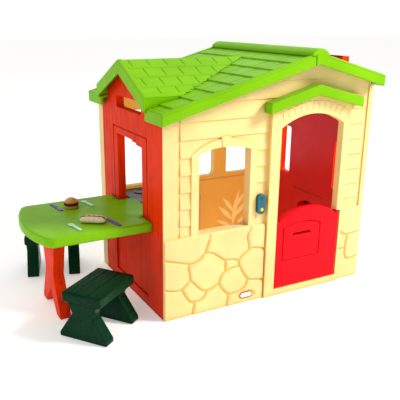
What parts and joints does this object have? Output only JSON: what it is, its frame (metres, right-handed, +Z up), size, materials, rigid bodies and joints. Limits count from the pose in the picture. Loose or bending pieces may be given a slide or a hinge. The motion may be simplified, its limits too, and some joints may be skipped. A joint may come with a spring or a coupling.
{
  "type": "playhouse",
  "caption": "Moulded play cottage with a pitched roof, half door, doorbell, windows, chimney, play kitchen, and a patio table with loose benches and play food.",
  "frame": {"origin": "under the middle of the bounding box, on the floor", "axes": "+X along the door wall, away from the patio; +Y from the door wall to the rear wall; +Z up"},
  "size_m": [2.143, 1.3232, 1.473],
  "materials": {
    "cream": "satin moulded polyethylene with clapboard and stone relief",
    "orange": "satin moulded polyethylene with wood grain relief",
    "green": "satin moulded polyethylene",
    "red": "satin moulded polyethylene",
    "dark_green": "glossy moulded polyethylene",
    "teal": "glossy injection-moulded plastic",
    "yellow": "glossy injection-moulded plastic",
    "white": "blank oval plate with a red-brown rim",
    "black": "matt black plastic",
    "rubber": "silicone rubber",
    "circuit_board": "coated fibreglass board",
    "steel": "zinc-plated steel",
    "steel_look": "silver-coloured plastic",
    "bun": "matt plastic, toasted brown",
    "filling": "matt plastic, dark brown",
    "pale_bun": "matt plastic, cream",
    "sausage": "matt plastic, dark red-brown",
    "purple": "glossy injection-moulded plastic",
    "mint": "glossy injection-moulded plastic"
  },
  "bodies": {
    "house": {"front_wall": "cream", "rear_wall": "cream", "patio_wall": "orange", "right_wall": "orange", "chimney": "orange", "roof_left": "green", "roof_right": "green", "dormer_roof": "green", "door_hood": "green", "hinge_pins": "steel", "hood_screws": "steel", "wall_screws": "steel", "badge_plate": "white", "bell_case": "teal", "bell_back_plate": "teal", "bell_switch": "rubber", "bell_board": "circuit_board", "bell_speaker": "black", "bell_batteries": "steel", "bell_screws": "steel", "patio_table": "green", "table_leg": "orange", "table_screws": "steel", "kitchen_counter": "cream", "stove_top": "black"},
    "half_door": {"half_door": "red"},
    "bell_button": {"bell_button": "yellow"},
    "faucet": {"faucet": "steel_look"},
    "near_bench": {"near_bench_seat": "dark_green", "near_bench_left_frame": "dark_green", "near_bench_right_frame": "dark_green"},
    "far_bench": {"far_bench_seat": "dark_green", "far_bench_left_frame": "dark_green", "far_bench_right_frame": "dark_green"},
    "burger": {"burger_bun": "bun", "burger_filling": "filling"},
    "hot_dog": {"hot_dog_bun": "pale_bun", "hot_dog_sausage": "sausage"},
    "near_knife": {"near_knife": "purple"},
    "far_knife": {"far_knife": "purple"},
    "near_fork": {"near_fork": "mint"},
    "far_fork": {"far_fork": "mint"}
  },
  "joints": [
    {"name": "half_door_hinge", "type": "hinge", "parent": "house", "child": "half_door", "pos_m": [0.7745, -0.55227, 0.25], "axis": [0, 0, 1], "range_deg": [0, 92]},
    {"name": "bell_button_press", "type": "slide", "parent": "house", "child": "bell_button", "axis": [0, 1, 0], "range_m": [0, 0.003], "stiffness_N_per_m": 300},
    {"name": "faucet_swivel", "type": "hinge", "parent": "house", "child": "faucet", "pos_m": [0.0255, 0.30973, 0.53], "axis": [0, 0, 1], "range_deg": [-60, 60]},
    {"name": "near_bench_lift_out", "type": "slide", "parent": "house", "child": "near_bench", "axis": [0, -0.8, 0.6], "range_m": [0, 0.6]},
    {"name": "far_bench_lift", "type": "slide", "parent": "house", "child": "far_bench", "axis": [0, 0, 1], "range_m": [0, 0.4]},
    {"name": "burger_lift", "type": "slide", "parent": "house", "child": "burger", "axis": [0, 0, 1], "range_m": [0, 0.15]},
    {"name": "hot_dog_lift", "type": "slide", "parent": "house", "child": "hot_dog", "axis": [0, 0, 1], "range_m": [0, 0.15]},
    {"name": "near_knife_lift", "type": "slide", "parent": "house", "child": "near_knife", "axis": [0, 0, 1], "range_m": [0, 0.15]},
    {"name": "far_knife_lift", "type": "slide", "parent": "house", "child": "far_knife", "axis": [0, 0, 1], "range_m": [0, 0.15]},
    {"name": "near_fork_lift", "type": "slide", "parent": "house", "child": "near_fork", "axis": [0, 0, 1], "range_m": [0, 0.15]},
    {"name": "far_fork_lift", "type": "slide", "parent": "house", "child": "far_fork", "axis": [0, 0, 1], "range_m": [0, 0.15]}
  ]
}
